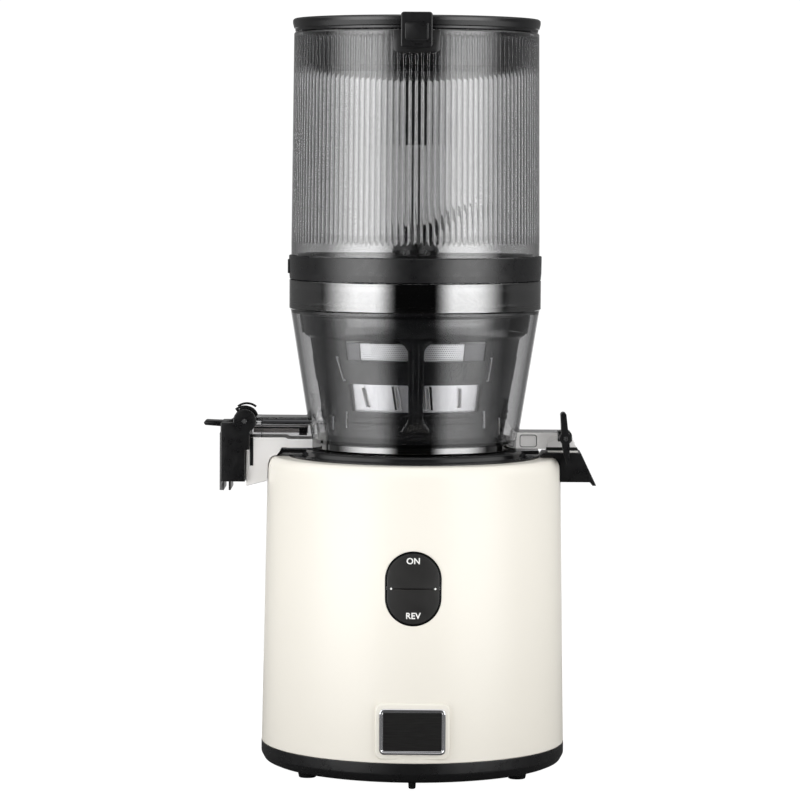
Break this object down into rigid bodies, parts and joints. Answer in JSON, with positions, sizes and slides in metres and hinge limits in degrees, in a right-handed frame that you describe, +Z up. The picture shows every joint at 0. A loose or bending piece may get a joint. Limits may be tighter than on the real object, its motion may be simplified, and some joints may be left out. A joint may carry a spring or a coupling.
{
  "type": "cold press juicer",
  "caption": "Free-standing slow juicer with a cream drum base, rocker switch, smoke-tinted bowl and strainer, spout with swing cap, pulp outlet and a tall fluted hopper with a hinged lid.",
  "frame": {"origin": "the point where the drive axis meets the table that the feet stand on", "axes": "+Z up along the drive axis, -Y to the front with the switch, +X to the right with the pulp outlet"},
  "size_m": [0.238, 0.1885, 0.4571],
  "materials": {
    "cream_shell": "satin moulded ABS",
    "black_plastic": "fine satin",
    "smoke_clear": "polished smoke-tinted copolyester",
    "hopper_clear": "fluted smoke-tinted copolyester",
    "cage_plastic": "semi-gloss",
    "screen_steel": "fine perforated",
    "auger_plastic": "satin",
    "steel": "machined",
    "aluminium": "die cast",
    "copper": "enamelled wire",
    "lamination": "stamped",
    "rubber": "matte",
    "silicone": "matte silicone",
    "chrome": "polished",
    "badge_dark": "brushed",
    "board_green": "solder mask",
    "gear_nylon": "satin nylon",
    "white_plastic": "satin",
    "lid_black": "satin"
  },
  "bodies": {
    "base": {"base_housing": "cream_shell", "top_deck": "black_plastic", "bottom_cover": "black_plastic", "rubber_feet": "rubber", "base_screws": "steel", "switch_bezel": "black_plastic", "rocker_pin": "steel", "switch_module": "black_plastic", "control_board": "board_green", "run_capacitor": "white_plastic", "badge_frame": "chrome", "badge_plate": "badge_dark", "cord_gland": "rubber", "motor_stator": "lamination", "stator_windings": "copper", "motor_upper_bell": "aluminium", "motor_lower_bell": "aluminium", "motor_bearings": "steel", "motor_bolts": "steel", "gearbox_base": "aluminium", "gearbox_cover": "aluminium", "gearbox_screws": "steel", "idler_axle": "steel", "output_bearings": "steel", "mount_grommets": "rubber", "shaft_seal": "rubber", "pulp_chute": "black_plastic"},
    "rocker": {"rocker_switch": "black_plastic"},
    "rotor": {"rotor_core": "lamination", "rotor_shaft": "steel", "cooling_fan": "white_plastic"},
    "idler": {"reduction_gear": "gear_nylon"},
    "drive": {"output_gear": "steel", "drive_shaft": "steel"},
    "bowl": {"juice_bowl": "smoke_clear", "bowl_seal": "silicone", "strainer_cage": "cage_plastic", "strainer_screen": "screen_steel", "outlet_gasket": "rubber", "lever_bracket": "black_plastic", "lever_pin": "steel", "cap_pin": "steel"},
    "screw": {"auger": "auger_plastic", "auger_bush": "steel", "feed_spindle": "auger_plastic", "cutting_wing": "auger_plastic"},
    "hopper": {"hopper_shell": "hopper_clear", "hopper_ring": "black_plastic", "ring_gasket": "silicone", "latch_catch": "black_plastic", "hinge_bracket": "black_plastic", "hinge_pin": "steel"},
    "lid": {"lid_rim": "lid_black", "lid_cover": "lid_black", "lid_plug": "lid_black", "lid_latch": "black_plastic"},
    "cap": {"juice_cap": "black_plastic", "cap_seal": "rubber"},
    "lever": {"pulp_lever": "black_plastic"}
  },
  "joints": [
    {"name": "rotor_spin", "type": "hinge", "parent": "base", "child": "rotor", "pos_m": [0, 0, 0.068], "axis": [0, 0, 1], "continuous": true},
    {"name": "idler_spin", "type": "hinge", "parent": "base", "child": "idler", "pos_m": [0, 0.036, 0.13], "axis": [0, 0, 1], "continuous": true},
    {"name": "drive_spin", "type": "hinge", "parent": "base", "child": "drive", "pos_m": [0, 0, 0.16], "axis": [0, 0, 1], "continuous": true},
    {"name": "rocker_tilt", "type": "hinge", "parent": "base", "child": "rocker", "pos_m": [0, -0.0859, 0.1211], "axis": [1, 0, 0], "range_deg": [-4, 4], "stiffness_Nm_per_rad": 0.05},
    {"name": "bowl_lift", "type": "slide", "parent": "base", "child": "bowl", "axis": [0, 0, 1], "range_m": [0, 0.07]},
    {"name": "screw_spin", "type": "hinge", "parent": "bowl", "child": "screw", "pos_m": [0, 0, 0.26], "axis": [0, 0, 1], "continuous": true},
    {"name": "hopper_lift", "type": "slide", "parent": "bowl", "child": "hopper", "axis": [0, 0, 1], "range_m": [0, 0.095]},
    {"name": "lid_hinge", "type": "hinge", "parent": "hopper", "child": "lid", "pos_m": [0, 0.0805, 0.4495], "axis": [-1, 0, 0], "range_deg": [0, 100]},
    {"name": "cap_swing", "type": "hinge", "parent": "bowl", "child": "cap", "pos_m": [-0.1024, 0, 0.2133], "axis": [0, 1, 0], "range_deg": [0, 95]},
    {"name": "lever_swing", "type": "hinge", "parent": "bowl", "child": "lever", "pos_m": [0.0908, -0.0226, 0.2048], "axis": [0, -1, 0], "range_deg": [0, 70]}
  ],
  "couplings": [
    {"joint": "idler_spin", "follows": "rotor_spin", "ratio": -0.14286},
    {"joint": "drive_spin", "follows": "rotor_spin", "ratio": 0.035714},
    {"joint": "screw_spin", "follows": "rotor_spin", "ratio": 0.035714}
  ]
}
